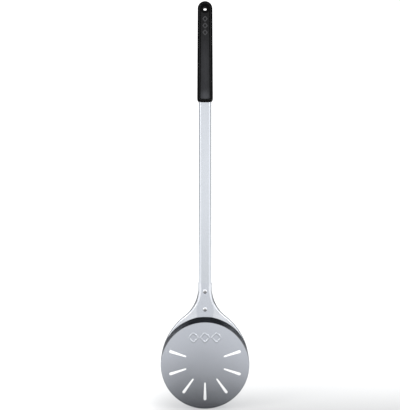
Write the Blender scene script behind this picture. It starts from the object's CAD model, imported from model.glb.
"""Studio picture of a round-headed pizza turning peel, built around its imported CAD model.

Everything is in metres in the row frame: +Z runs up the shaft to the grip, -Y is the front, and the origin
is the centre of the hang hole. The CAD nodes keep their shapes and get their finishes here. The raised
marks, the beads round the grip's recesses and the parting lines down its sides are added as pieces of their
own.
"""

import math

import bmesh
import bpy
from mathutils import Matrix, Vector


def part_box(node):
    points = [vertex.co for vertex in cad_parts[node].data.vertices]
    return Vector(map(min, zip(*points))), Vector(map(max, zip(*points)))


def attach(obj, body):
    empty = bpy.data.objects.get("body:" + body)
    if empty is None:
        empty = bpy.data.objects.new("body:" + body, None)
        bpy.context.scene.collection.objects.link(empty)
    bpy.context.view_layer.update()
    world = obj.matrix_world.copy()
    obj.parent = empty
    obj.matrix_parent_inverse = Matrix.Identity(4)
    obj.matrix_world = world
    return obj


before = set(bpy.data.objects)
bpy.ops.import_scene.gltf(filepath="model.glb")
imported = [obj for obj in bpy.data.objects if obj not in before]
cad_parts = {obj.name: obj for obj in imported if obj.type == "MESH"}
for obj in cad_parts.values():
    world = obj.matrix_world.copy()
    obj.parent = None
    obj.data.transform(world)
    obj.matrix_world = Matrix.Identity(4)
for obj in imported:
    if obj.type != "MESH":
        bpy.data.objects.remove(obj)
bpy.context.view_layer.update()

MM = 0.001

HEAD_LOW, HEAD_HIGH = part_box("peel_head")
GRIP_LOW, GRIP_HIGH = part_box("grip_body")
INLAY_LOW, INLAY_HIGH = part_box("grip_front_inlay")

BLADE_RADIUS = (HEAD_HIGH.x - HEAD_LOW.x) / 2
BLADE_CENTRE_Z = HEAD_LOW.z + BLADE_RADIUS
BLADE_GAUGE = 1.2 * MM
BLADE_FRONT_Y = HEAD_HIGH.y - BLADE_GAUGE

# The camera is level and looks straight at the blade. It stands a little to the left, and level with the
# middle of the object; its rise is above the blade's centre.
CAMERA_DISTANCE = 1.8
CAMERA_RISE = 0.318
CAMERA_SIDE = -0.010
CAMERA_LENS = 79.1
CAMERA_SENSOR = 36.0

# Corners of the round floor and card.
DISC_CORNERS = 96

# The floor is white, with a greyer patch under the tool and to its right. The patch deepens from a depth
# behind the tool up to it. To the left, right and front it begins or ends over a range of places.
FLOOR_GAP = 0.4 * MM
FLOOR_RADIUS = 9.0
FLOOR_TONE = 0.81
FLOOR_MOTTLE = 0.01
FLOOR_PATCH_SHARE = 0.615
FLOOR_PATCH_DEPTH = 0.8
FLOOR_PATCH_POWER = 1.9
FLOOR_PATCH_LEFT = (-0.165, -0.05)
FLOOR_PATCH_RIGHT = (0.45, 0.70)
FLOOR_PATCH_FRONT = (-0.05, -0.75)

# The smoked card's clearness is growth / (1 + growth), where growth rises with the distance from the blade
# and to the sides. It is held below a limit, which rises between two distances to the side.
CARD_RADIUS = 8.0
CARD_SIDE_SHARE = 0.5
CARD_GROWTH = 0.76
CARD_POWER = 0.77
CARD_MIDDLE = -0.014
CARD_SIDE_REACH = 0.104
CARD_LIMIT = (0.59, 0.82)
CARD_LIMIT_ASIDE = (0.35, 1.1)

# Brightness of the studio by direction. Each pair is a range of one component of the unit direction: upwards
# for the wall's top and the ceiling's edge, sideways for the side and end walls, and backwards for the dim
# corner and the back. Where the camera sees the studio itself, it is plain white.
WALL_LIGHT = 1.03
WALL_TOP = (0.12, 0.25)
GAP_LIGHT = 0.3
CEILING_LIGHT = 1.75
CEILING_EDGE = (0.25, 0.5)
SIDE_WALL = (0.3, 0.7)
SIDE_WALL_GAIN = 1.24
END_WALL = (0.8, 0.95)
END_WALL_SHARE = 0.72
CORNER = (0.0, 0.12)
CORNER_SHARE = 0.25
BACK = (0.92, 0.99)
STUDIO_COLOUR = (0.985, 0.993, 1.0)
SEEN_LIGHT = 1.3
SEEN_COLOUR = (1.0, 1.0, 1.0)

# Softboxes on both sides of the camera, placed from the origin.
SOFTBOX_POWER = 12
SOFTBOX_SIDE = 1.9
SOFTBOX_AHEAD = 1.7
SOFTBOX_RISE = 0.95
SOFTBOX_WIDTH = 0.8
SOFTBOX_HEIGHT = 1.4

# Raised marks on the blade and the grip. The blade's are above its centre.
MARK_POINTS = 72
MARK_SOFTNESS = 1.65
MARK_PROFILE_STEPS = 8
BLADE_MARK_PITCH = 23 * MM
BLADE_MARK_RISE = 52.5 * MM
BLADE_MARK_HALF_WIDTH = 10.8 * MM
BLADE_MARK_HALF_HEIGHT = 11 * MM
BLADE_MARK_STROKE = 4.2 * MM
BLADE_MARK_RELIEF = 0.07 * MM
GRIP_MARK_PITCH = 13.5 * MM
GRIP_MARK_CENTRE_Z = -34.5 * MM
GRIP_MARK_HALF_WIDTH = 5.2 * MM
GRIP_MARK_HALF_HEIGHT = 5.8 * MM
GRIP_MARK_STROKE = 2.6 * MM
GRIP_MARK_RELIEF = 0.18 * MM

# Moulded ridges on the grip: the bead round each recess, and the parting line down each side. A profile's
# points are shares of the half width and of the height.
GRIP_TOP_HALF_WIDTH = 14.6 * MM
GRIP_FOOT_HALF_WIDTH = (GRIP_HIGH.x - GRIP_LOW.x) / 2
RIM_INSET = 4.1 * MM
RIM_CORNER = 3.9 * MM
RIM_HALF_WIDTH = 0.4 * MM
RIM_HEIGHT = 0.17 * MM
RIM_DROP = 0.2 * MM
RIM_PROFILE = ((-1, -1), (-0.6, 0.7), (0, 1), (0.6, 0.7), (1, -1))
RIM_ARC_STEPS = 48
RIM_CORNER_STEPS = 10
PARTING_STEPS = 40
PARTING_TOP = -10 * MM
PARTING_FOOT = GRIP_LOW.z + 12 * MM
PARTING_HALF_WIDTH = 0.2 * MM
PARTING_HEIGHT = 0.12 * MM
PARTING_SINK = 0.2
PARTING_PROFILE = ((-1, -0.3), (-0.5, 0.6), (0, 1), (0.5, 0.6), (1, -0.3))
PARTING_TAPER_POWER = 0.25

# The sheet is brighter on the flanks of the neck and duller where it is drawn. That is on the step, which
# faces down, fading out away from the middle, and on the skirt, which faces sideways, most where it also
# faces up. Tilts and rises are ranges of a component of the surface's normal.
FLANK_TILT = (0.06, 0.20)
STEP_TILT = (0.25, 0.55)
STEP_FADE = (0.026, 0.060)
SKIRT_TILT = (0.58, 0.94)
SKIRT_RISE = (0.15, 0.60)
SKIRT_SHARE = (0.15, 0.82)

# Dust lies where a rivet's head faces down.
DUST_TILT = (0.14, 0.32)

# The inlay's wear sets in between these heights, to these shares. It is stronger in the middle than at the
# edges, and its grain makes it uneven.
PALM_WEAR = (-0.015, -0.115)
PALM_SHARE = 0.38
FOOT_WEAR = (-0.157, -0.173)
FOOT_SHARE = 0.50
MIDDLE_TO_EDGE = (1.25, 0.70)
RUBBING_SPAN = (0.3, 0.7)
RUBBING_SHARE = (0.75, 1.2)

# Most noise lies in this range.
NOISE_SPAN = (0.2, 0.8)

# Colours. A pair is the darkest and the lightest of a mottled surface.
SHEET_COLOURS = (0.706, 0.734, 0.796), (0.743, 0.772, 0.835)
FLANK_COLOUR = (0.835, 0.855, 0.900)
DRAWN_COLOUR = (0.17, 0.18, 0.20)
TUBE_COLOURS = (0.715, 0.745, 0.795), (0.765, 0.795, 0.845)
RIVET_COLOURS = (0.66, 0.665, 0.68), (0.74, 0.745, 0.755)
DUST_COLOUR = (0.020, 0.021, 0.023)
MANDREL_COLOURS = (0.20, 0.20, 0.205), (0.36, 0.36, 0.365)
SCREW_COLOURS = (0.30, 0.30, 0.31), (0.46, 0.46, 0.47)
GRIP_COLOURS = (0.0009, 0.0009, 0.0010), (0.0018, 0.0018, 0.0020)
BEAD_COLOURS = (0.016, 0.016, 0.017), (0.024, 0.024, 0.026)
PLUG_COLOURS = (0.010, 0.010, 0.011), (0.018, 0.018, 0.019)
MARK_COLOURS = (0.026, 0.026, 0.028), (0.038, 0.038, 0.041)
INLAY_COLOURS = (0.002, 0.002, 0.0024), (0.042, 0.043, 0.048)

# Sockets of a colour mix, by number, because their names repeat.
MIX_FACTOR, MIX_FIRST, MIX_SECOND, MIX_RESULT = 0, 6, 7, 2


# ---------------------------------------------------------------- nodes

def add_node(tree, kind, inputs=None, **settings):
    """Add a shader node, set its properties, and set or link its inputs by name or number."""
    node = tree.nodes.new(kind)
    for name, value in settings.items():
        setattr(node, name, value)
    for name, value in (inputs or {}).items():
        if isinstance(value, bpy.types.NodeSocket):
            tree.links.new(value, node.inputs[name])
        else:
            node.inputs[name].default_value = value
    return node


def math_node(tree, operation, *values):
    """The result of a maths operation on numbers or sockets."""
    inputs = dict(enumerate(values))
    return add_node(tree, "ShaderNodeMath", inputs, operation=operation).outputs[0]


def product(tree, first, *others):
    """Numbers or sockets multiplied together."""
    for other in others:
        first = math_node(tree, "MULTIPLY", first, other)
    return first


def weighted(tree, *shares):
    """The sum of values, each times its weight; a value of 1.0 adds its weight as a base."""
    total = 0.0
    for value, weight in shares:
        total = math_node(tree, "ADD", total, math_node(tree, "MULTIPLY", value, weight))
    return total


def remap(tree, value, limits, results=(0.0, 1.0), kind="LINEAR"):
    """A value mapped from one pair of limits to a pair of results, and held between them."""
    inputs = {"Value": value, "From Min": limits[0], "From Max": limits[1],
              "To Min": results[0], "To Max": results[1]}
    return add_node(tree, "ShaderNodeMapRange", inputs, interpolation_type=kind).outputs["Result"]


def ease(tree, value, limits, results=(0.0, 1.0)):
    """A remapped value that starts and ends smoothly."""
    return remap(tree, value, limits, results, "SMOOTHSTEP")


def split(tree, vector):
    """The X, Y and Z of a vector."""
    return add_node(tree, "ShaderNodeSeparateXYZ", {0: vector}).outputs


def surface_normal(tree):
    """The X, Y and Z of the surface's normal."""
    return split(tree, tree.nodes.new("ShaderNodeNewGeometry").outputs["Normal"])


def scaled(tree, point, across, deep, along):
    """A point whose coordinates are each multiplied."""
    inputs = {0: point, 1: (across, deep, along)}
    return add_node(tree, "ShaderNodeVectorMath", inputs, operation="MULTIPLY").outputs[0]


def noise(tree, point, scale, detail, roughness=0.5):
    """Noise between 0 and 1 at a point; scale is in cells per metre."""
    inputs = {"Vector": point, "Scale": scale, "Detail": detail, "Roughness": roughness}
    return add_node(tree, "ShaderNodeTexNoise", inputs).outputs["Fac"]


def streaks(tree, point, across, along, detail, roughness=0.5):
    """Noise drawn out along the shaft; across and along are in cells per metre."""
    return noise(tree, scaled(tree, point, across, across, along), 1.0, detail, roughness)


def opaque(colour):
    """A colour with its alpha."""
    return (*colour, 1.0)


def grey(tone):
    """A colour with the same tone in each channel."""
    return (tone, tone, tone)


def tinted(tree, amount, first, second):
    """A colour between two others, each a colour or a socket, by an amount from 0 to 1."""
    first, second = (colour if isinstance(colour, bpy.types.NodeSocket) else opaque(colour)
                     for colour in (first, second))
    inputs = {MIX_FACTOR: amount, MIX_FIRST: first, MIX_SECOND: second}
    return add_node(tree, "ShaderNodeMix", inputs, data_type="RGBA").outputs[MIX_RESULT]


def new_material(name, kind="ShaderNodeBsdfPrincipled"):
    """A material with its nodes, its main shader and the point being shaded, in the object's own frame."""
    material = bpy.data.materials.new(name)
    material.use_nodes = True
    tree = material.node_tree
    tree.nodes.clear()
    shader = tree.nodes.new(kind)
    output = tree.nodes.new("ShaderNodeOutputMaterial")
    tree.links.new(shader.outputs[0], output.inputs["Surface"])
    point = tree.nodes.new("ShaderNodeTexCoord").outputs["Object"]
    return material, tree, shader, point


def new_metal(name):
    """A new material whose main shader is bare metal."""
    material, tree, shader, point = new_material(name)
    shader.inputs["Metallic"].default_value = 1.0
    return material, tree, shader, point


def set_surface(tree, shader, colour, roughness, height, depth):
    """Link a colour and a roughness, and bump the surface by a height field worth a depth in metres."""
    tree.links.new(colour, shader.inputs["Base Color"])
    tree.links.new(roughness, shader.inputs["Roughness"])
    bump = add_node(tree, "ShaderNodeBump", {"Height": height, "Distance": depth, "Strength": 1.0})
    tree.links.new(bump.outputs["Normal"], shader.inputs["Normal"])


# ---------------------------------------------------------------- metals

def flank_share(tree):
    """How far the surface is a flank of the neck, by its sideways tilt."""
    return ease(tree, math_node(tree, "ABSOLUTE", surface_normal(tree)["X"]), FLANK_TILT)


def drawn_share(tree, point):
    """How far the sheet is drawn: on the step below the neck, or on the outward sides of the skirt."""
    normal = surface_normal(tree)
    place = split(tree, point)
    step = ease(tree, product(tree, normal["Z"], -1.0), STEP_TILT)
    fade = ease(tree, math_node(tree, "ABSOLUTE", place["X"]), STEP_FADE, (1.0, 0.0))
    sideways = ease(tree, math_node(tree, "ABSOLUTE", normal["Y"]), SKIRT_TILT, (1.0, 0.0))
    upward = remap(tree, normal["Z"], SKIRT_RISE, SKIRT_SHARE)
    outward = math_node(tree, "GREATER_THAN", product(tree, normal["X"], place["X"]), 0.0)
    return math_node(tree, "MAXIMUM", product(tree, step, fade), product(tree, sideways, upward, outward))


def head_finish():
    """Pressed sheet, blasted and anodised: soft mottling, faint rolling grain, duller where it is drawn."""
    material, tree, shader, point = new_metal("head_finish")
    grain = streaks(tree, point, across=2600, along=240, detail=2)
    blast = noise(tree, point, scale=1900, detail=2)
    cloud = noise(tree, point, scale=24, detail=4)
    rubbed = streaks(tree, point, across=500, along=30, detail=2)
    sheet = tinted(tree, weighted(tree, (grain, 0.3), (cloud, 0.7)), *SHEET_COLOURS)
    sheet = tinted(tree, flank_share(tree), sheet, FLANK_COLOUR)
    colour = tinted(tree, drawn_share(tree, point), sheet, DRAWN_COLOUR)
    roughness = weighted(tree, (cloud, 0.06), (rubbed, 0.05), (1.0, 0.20))
    height = weighted(tree, (blast, 0.7), (grain, 0.3))
    set_surface(tree, shader, colour, roughness, height, depth=0.0008 * MM)
    return material


def tube_finish():
    """Extruded tube, anodised: long fine die lines and a slightly brighter satin than the head."""
    material, tree, shader, point = new_metal("tube_finish")
    die_lines = streaks(tree, point, across=2600, along=5, detail=3)
    cloud = streaks(tree, point, across=60, along=12, detail=3)
    colour = tinted(tree, die_lines, *TUBE_COLOURS)
    roughness = weighted(tree, (die_lines, 0.08), (cloud, 0.08), (1.0, 0.14))
    set_surface(tree, shader, colour, roughness, die_lines, depth=0.001 * MM)
    return material


def rivet_finish():
    """Bright aluminium, finely speckled, with dust on the underside of its head."""
    material, tree, shader, point = new_metal("rivet_finish")
    speckle = noise(tree, point, scale=2200, detail=3)
    dust = ease(tree, product(tree, surface_normal(tree)["Z"], -1.0), DUST_TILT)
    colour = tinted(tree, dust, tinted(tree, speckle, *RIVET_COLOURS), DUST_COLOUR)
    roughness = remap(tree, speckle, NOISE_SPAN, (0.07, 0.13))
    set_surface(tree, shader, colour, roughness, speckle, depth=0.001 * MM)
    return material


def steel_finish(name, colours, depth):
    """Steel with a crystalline grain, between two colours; depth is the grain's height in metres."""
    material, tree, shader, point = new_metal(name)
    crystals = noise(tree, point, scale=1500, detail=5, roughness=0.7)
    colour = tinted(tree, crystals, *colours)
    roughness = remap(tree, crystals, NOISE_SPAN, (0.28, 0.5))
    set_surface(tree, shader, colour, roughness, crystals, depth)
    return material


# ---------------------------------------------------------------- mouldings

def moulded_finish(name, colours, dullness, shine, depth):
    """Glass-filled nylon: spark-eroded grain of a depth, faint flow marks and unevenly handled gloss."""
    material, tree, shader, point = new_material(name)
    grain = noise(tree, point, scale=2300, detail=3, roughness=0.6)
    flow = streaks(tree, point, across=150, along=22, detail=4)
    handled = noise(tree, point, scale=38, detail=3)
    colour = tinted(tree, weighted(tree, (grain, 0.4), (flow, 0.6)), *colours)
    roughness = weighted(tree, (grain, 0.10), (handled, 0.14), (1.0, dullness))
    shader.inputs["Specular IOR Level"].default_value = shine
    set_surface(tree, shader, colour, roughness, grain, depth)
    return material


def wear_share(tree, point, grain, mottle):
    """How far the inlay is rubbed: where the palm lies, most at its foot, and more in its middle."""
    place = split(tree, point)
    palm = ease(tree, place["Z"], PALM_WEAR, (0.0, PALM_SHARE))
    foot = ease(tree, place["Z"], FOOT_WEAR, (0.0, FOOT_SHARE))
    middle = ease(tree, math_node(tree, "ABSOLUTE", place["X"]), (0.0, INLAY_HIGH.x), MIDDLE_TO_EDGE)
    uneven = weighted(tree, (grain, 0.35), (mottle, 0.65))
    rubbing = remap(tree, uneven, RUBBING_SPAN, RUBBING_SHARE)
    return product(tree, math_node(tree, "ADD", palm, foot), product(tree, middle, rubbing))


def inlay_finish():
    """Softer moulded inlay, rubbed paler by use."""
    material, tree, shader, point = new_material("inlay_finish")
    grain = noise(tree, point, scale=2300, detail=3, roughness=0.6)
    mottle = streaks(tree, point, across=260, along=70, detail=4, roughness=0.6)
    colour = tinted(tree, wear_share(tree, point, grain, mottle), *INLAY_COLOURS)
    roughness = weighted(tree, (mottle, 0.22), (grain, 0.10), (1.0, 0.28))
    shader.inputs["Specular IOR Level"].default_value = 0.2
    set_surface(tree, shader, colour, roughness, grain, depth=0.02 * MM)
    return material


# ---------------------------------------------------------------- stage

def add_object(name, data):
    """An object in the scene that holds this data."""
    holder = bpy.data.objects.new(name, data)
    bpy.context.scene.collection.objects.link(holder)
    return holder


def mesh_object(name, shape, material):
    """An object in the scene, made from a bmesh and a material."""
    mesh = bpy.data.meshes.new(name)
    shape.to_mesh(mesh)
    shape.free()
    mesh.materials.append(material)
    return add_object(name, mesh)


def disc_object(name, radius, material):
    """A flat round object."""
    shape = bmesh.new()
    bmesh.ops.create_circle(shape, cap_ends=True, radius=radius, segments=DISC_CORNERS)
    return mesh_object(name, shape, material)


def place_camera():
    """Level camera in front of the object."""
    camera = bpy.data.cameras.new("studio_camera")
    camera.lens = CAMERA_LENS
    camera.sensor_width = CAMERA_SENSOR
    holder = add_object("studio_camera", camera)
    holder.location = (CAMERA_SIDE, BLADE_FRONT_Y - CAMERA_DISTANCE, BLADE_CENTRE_Z + CAMERA_RISE)
    holder.rotation_euler = (math.pi / 2, 0, 0)
    bpy.context.scene.camera = holder


def floor_paint():
    """Flat white paint, faintly mottled, with the greyer patch."""
    material, tree, shader, point = new_material("floor_paint")
    place = split(tree, point)
    deepening = remap(tree, place["Y"], (FLOOR_PATCH_DEPTH, 0.0))
    patch = product(tree, math_node(tree, "POWER", deepening, FLOOR_PATCH_POWER),
                    ease(tree, place["X"], FLOOR_PATCH_LEFT),
                    ease(tree, place["X"], FLOOR_PATCH_RIGHT, (1.0, 0.0)),
                    ease(tree, place["Y"], FLOOR_PATCH_FRONT, (1.0, 0.0)))
    shade = noise(tree, point, scale=3.0, detail=2)
    paint = tinted(tree, shade, grey(FLOOR_TONE - FLOOR_MOTTLE), grey(FLOOR_TONE + FLOOR_MOTTLE))
    colour = tinted(tree, patch, paint, grey(FLOOR_TONE * FLOOR_PATCH_SHARE))
    tree.links.new(colour, shader.inputs["Base Color"])
    shader.inputs["Roughness"].default_value = 0.9
    shader.inputs["Specular IOR Level"].default_value = 0.0
    return material


def lay_floor():
    """Plain pale floor, just under the blade's tip."""
    floor = disc_object("floor", FLOOR_RADIUS, floor_paint())
    floor.location.z = HEAD_LOW.z - FLOOR_GAP
    return floor


def smoked_film():
    """Clear film, smoked most near the blade and towards the middle."""
    material, tree, film, point = new_material("smoked_film", "ShaderNodeBsdfTransparent")
    place = split(tree, point)
    spread = scaled(tree, point, CARD_SIDE_SHARE, 1.0, 0.0)
    distance = add_node(tree, "ShaderNodeVectorMath", {0: spread}, operation="LENGTH").outputs["Value"]
    across = math_node(tree, "SUBTRACT", place["X"], CARD_MIDDLE)
    sideways = math_node(tree, "POWER", math_node(tree, "DIVIDE", across, CARD_SIDE_REACH), 2.0)
    away = math_node(tree, "POWER", product(tree, distance, CARD_GROWTH), CARD_POWER)
    growth = product(tree, away, math_node(tree, "ADD", sideways, 1.0))
    clear = math_node(tree, "DIVIDE", growth, math_node(tree, "ADD", growth, 1.0))
    limit = ease(tree, math_node(tree, "ABSOLUTE", place["X"]), CARD_LIMIT_ASIDE, CARD_LIMIT)
    tree.links.new(math_node(tree, "MINIMUM", clear, limit), film.inputs["Color"])
    return material


def lay_card(floor):
    """Smoked card just above the floor, seen only in reflections, so the blade reflects a darker floor."""
    card = disc_object("smoked_card", CARD_RADIUS, smoked_film())
    card.location = (0, BLADE_FRONT_Y, floor.location.z + FLOOR_GAP / 2)
    card.visible_camera = False
    card.visible_diffuse = False
    card.visible_shadow = False
    card.visible_transmission = False


def light_world():
    """White studio, seen as even white: bright walls, a dimmer gap above them and a bright ceiling."""
    world = bpy.data.worlds.new("studio")
    bpy.context.scene.world = world
    world.use_nodes = True
    tree = world.node_tree
    tree.nodes.clear()
    direction = split(tree, tree.nodes.new("ShaderNodeTexCoord").outputs["Generated"])
    sideways = math_node(tree, "ABSOLUTE", direction["X"])
    wall = product(tree, ease(tree, direction["Z"], WALL_TOP, (WALL_LIGHT, GAP_LIGHT)),
                   ease(tree, sideways, SIDE_WALL, (1.0, SIDE_WALL_GAIN)),
                   ease(tree, sideways, END_WALL, (1.0, END_WALL_SHARE)),
                   ease(tree, direction["Y"], CORNER, (1.0, CORNER_SHARE)),
                   ease(tree, direction["Y"], BACK, (1.0, 1.0 / CORNER_SHARE)))
    ceiling = ease(tree, direction["Z"], CEILING_EDGE, (0.0, CEILING_LIGHT - GAP_LIGHT))
    strength = math_node(tree, "ADD", wall, ceiling)
    walls = add_node(tree, "ShaderNodeBackground", {"Color": opaque(STUDIO_COLOUR), "Strength": strength})
    seen = add_node(tree, "ShaderNodeBackground", {"Color": opaque(SEEN_COLOUR), "Strength": SEEN_LIGHT})
    is_seen = tree.nodes.new("ShaderNodeLightPath").outputs["Is Camera Ray"]
    blend = add_node(tree, "ShaderNodeMixShader", {0: is_seen, 1: walls.outputs[0], 2: seen.outputs[0]})
    output = tree.nodes.new("ShaderNodeOutputWorld")
    tree.links.new(blend.outputs[0], output.inputs["Surface"])


def add_softboxes():
    """Tall softboxes on both sides of the camera, unseen by it and turned to the middle of the object."""
    aim = Vector((0, 0, (HEAD_LOW.z + GRIP_HIGH.z) / 2))
    for side, name in ((-1, "left_softbox"), (1, "right_softbox")):
        light = bpy.data.lights.new(name, "AREA")
        light.shape = "RECTANGLE"
        light.size = SOFTBOX_WIDTH
        light.size_y = SOFTBOX_HEIGHT
        light.energy = SOFTBOX_POWER
        holder = add_object(name, light)
        holder.location = (side * SOFTBOX_SIDE, -SOFTBOX_AHEAD, SOFTBOX_RISE)
        holder.rotation_euler = (aim - holder.location).to_track_quat("-Z", "Y").to_euler()
        holder.visible_camera = False


def set_view():
    """Plain display of the light as it is."""
    view = bpy.context.scene.view_settings
    view.view_transform = "Standard"
    view.look = "None"
    view.exposure = 0.0
    view.gamma = 1.0


# ---------------------------------------------------------------- raised marks and mould lines

def new_piece(name, shape, material):
    """A piece made from a bmesh, riding on the part, with its slot in the record."""
    piece = mesh_object(name, shape, material)
    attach(piece, "root")


def join_loops(shape, loops, is_ring=True):
    """Join closed loops of points, one after another: into a ring, or into a bar with capped ends."""
    rows = [[shape.verts.new(point) for point in loop] for loop in loops]
    count = len(loops[0])
    following_rows = rows[1:] + rows[:1] if is_ring else rows[1:]
    for row, following in zip(rows, following_rows):
        for place in range(count):
            beside = (place + 1) % count
            shape.faces.new((row[place], row[beside], following[beside], following[place])).smooth = True
    if not is_ring:
        for row in (rows[0], rows[-1]):
            shape.faces.new(row)


def lozenge_loop(centre, half_width, half_height, depth):
    """Points round a lozenge with softened corners, in a plane facing the front."""
    loop = []
    for step in range(MARK_POINTS):
        angle = 2 * math.pi * step / MARK_POINTS
        across = math.copysign(abs(math.cos(angle)) ** MARK_SOFTNESS, math.cos(angle))
        up = math.copysign(abs(math.sin(angle)) ** MARK_SOFTNESS, math.sin(angle))
        loop.append(centre + Vector((half_width * across, depth, half_height * up)))
    return loop


def add_lozenge(shape, centre, half_width, half_height, stroke, relief):
    """A lozenge outline raised as a smooth rounded ridge, on a face through its centre."""
    loops = []
    for step in range(MARK_PROFILE_STEPS + 1):
        share = step / MARK_PROFILE_STEPS
        inset = stroke * share
        depth = -relief * math.sin(math.pi * share) ** 2
        loops.append(lozenge_loop(centre, half_width - inset, half_height - inset, depth))
    sunk = [[point + Vector((0, relief, 0)) for point in loop] for loop in (loops[-1], loops[0])]
    join_loops(shape, loops + sunk)


def add_blade_marks(material):
    """A row of lozenge outlines embossed on the blade, above the slots."""
    shape = bmesh.new()
    for place in (-1, 0, 1):
        centre = Vector((place * BLADE_MARK_PITCH, BLADE_FRONT_Y, BLADE_CENTRE_Z + BLADE_MARK_RISE))
        add_lozenge(shape, centre, BLADE_MARK_HALF_WIDTH, BLADE_MARK_HALF_HEIGHT, BLADE_MARK_STROKE,
                    BLADE_MARK_RELIEF)
    new_piece("blade_marks", shape, material)


def add_grip_marks(material):
    """A column of small lozenge outlines on the front inlay, below the hang hole."""
    shape = bmesh.new()
    for place in (-1, 0, 1):
        centre = Vector((0, INLAY_LOW.y, GRIP_MARK_CENTRE_Z + place * GRIP_MARK_PITCH))
        add_lozenge(shape, centre, GRIP_MARK_HALF_WIDTH, GRIP_MARK_HALF_HEIGHT, GRIP_MARK_STROKE,
                    GRIP_MARK_RELIEF)
    new_piece("grip_marks", shape, material)


def rim_path():
    """Points round the grip's recess: a round top, sides that widen downwards and soft foot corners."""
    top_half = GRIP_TOP_HALF_WIDTH - RIM_INSET
    foot_half = GRIP_FOOT_HALF_WIDTH - RIM_INSET
    foot = GRIP_LOW.z + RIM_INSET
    path = []
    for step in range(RIM_ARC_STEPS + 1):
        angle = math.pi * step / RIM_ARC_STEPS
        path.append((top_half * math.cos(angle), top_half * math.sin(angle)))
    for side in (-1, 1):
        corner = []
        for step in range(RIM_CORNER_STEPS + 1):
            angle = math.pi / 2 * step / RIM_CORNER_STEPS
            across = side * (foot_half - RIM_CORNER * (1 - math.cos(angle)))
            corner.append((across, foot + RIM_CORNER * (1 - math.sin(angle))))
        path += corner if side < 0 else corner[::-1]
    return path


def rim_loop(path, face, offset, rise):
    """The path moved outward and raised off the grip, by shares of the bead's half width and height."""
    level = face * (GRIP_HIGH.y - RIM_DROP + rise * RIM_HEIGHT)
    loop = []
    for before, point, after in zip(path[-1:] + path[:-1], path, path[1:] + path[:1]):
        along = (Vector(after) - Vector(before)).normalized()
        outward = Vector((along.y, -along.x)) * offset * RIM_HALF_WIDTH
        loop.append(Vector((point[0] + outward.x, level, point[1] + outward.y)))
    return loop


def add_rim_beads(material):
    """The fine bead that runs round each recess of the grip."""
    path = rim_path()
    for face, name in ((-1, "front_rim_bead"), (1, "back_rim_bead")):
        shape = bmesh.new()
        join_loops(shape, [rim_loop(path, face, offset, rise) for offset, rise in RIM_PROFILE])
        bmesh.ops.recalc_face_normals(shape, faces=shape.faces)
        new_piece(name, shape, material)


def parting_loop(side, reach):
    """Points round the parting line on one side of the grip, at a share of its length from the top."""
    height = PARTING_TOP + (PARTING_FOOT - PARTING_TOP) * reach
    shoulder = GRIP_HIGH.z - GRIP_TOP_HALF_WIDTH
    widening = (shoulder - height) / (shoulder - GRIP_LOW.z)
    half_width = GRIP_TOP_HALF_WIDTH + (GRIP_FOOT_HALF_WIDTH - GRIP_TOP_HALF_WIDTH) * widening
    taper = math.sin(math.pi * reach) ** PARTING_TAPER_POWER
    loop = []
    for offset, rise in PARTING_PROFILE:
        across = half_width + PARTING_HEIGHT * (rise * taper - PARTING_SINK)
        loop.append((side * across, offset * PARTING_HALF_WIDTH, height))
    return loop


def add_parting_lines(material):
    """The fine ridge that the mould's parting leaves down each side of the grip."""
    for side, name in ((-1, "left_parting_line"), (1, "right_parting_line")):
        shape = bmesh.new()
        reaches = [(step + 0.5) / (PARTING_STEPS + 1) for step in range(PARTING_STEPS + 1)]
        join_loops(shape, [parting_loop(side, reach) for reach in reaches], is_ring=False)
        bmesh.ops.recalc_face_normals(shape, faces=shape.faces)
        new_piece(name, shape, material)


# ---------------------------------------------------------------- assembly

def finish_node(node, material):
    """Give a CAD node its material."""
    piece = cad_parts[node]
    piece.data.materials.clear()
    piece.data.materials.append(material)


def add_raised_pieces(head, grip):
    """The marks, beads and parting lines. The blade's marks and the parting lines match what they lie on."""
    mark = moulded_finish("mark_finish", MARK_COLOURS, dullness=0.38, shine=0.3, depth=0.01 * MM)
    bead = moulded_finish("bead_finish", BEAD_COLOURS, dullness=0.30, shine=0.45, depth=0.005 * MM)
    add_blade_marks(head)
    add_grip_marks(mark)
    add_rim_beads(bead)
    add_parting_lines(grip)


def finish_nodes(head, grip):
    """Finishes for every CAD node."""
    inlay = inlay_finish()
    rivet = rivet_finish()
    mandrel = steel_finish("mandrel_finish", MANDREL_COLOURS, depth=0.05 * MM)
    screw = steel_finish("screw_finish", SCREW_COLOURS, depth=0.01 * MM)
    finish_node("peel_head", head)
    finish_node("shaft_tube", tube_finish())
    finish_node("tube_end_plug", moulded_finish("plug_finish", PLUG_COLOURS, dullness=0.45, shine=0.4,
                                                depth=0.02 * MM))
    finish_node("grip_body", grip)
    for side in ("front", "back"):
        finish_node(f"grip_{side}_inlay", inlay)
    for place in ("upper", "lower"):
        finish_node(f"{place}_neck_rivet", rivet)
        finish_node(f"{place}_neck_rivet_mandrel", mandrel)
        finish_node(f"{place}_grip_screw", screw)


place_camera()
floor = lay_floor()
lay_card(floor)
light_world()
add_softboxes()
set_view()
head = head_finish()
grip = moulded_finish("grip_finish", GRIP_COLOURS, dullness=0.44, shine=0.05, depth=0.02 * MM)
add_raised_pieces(head, grip)
finish_nodes(head, grip)
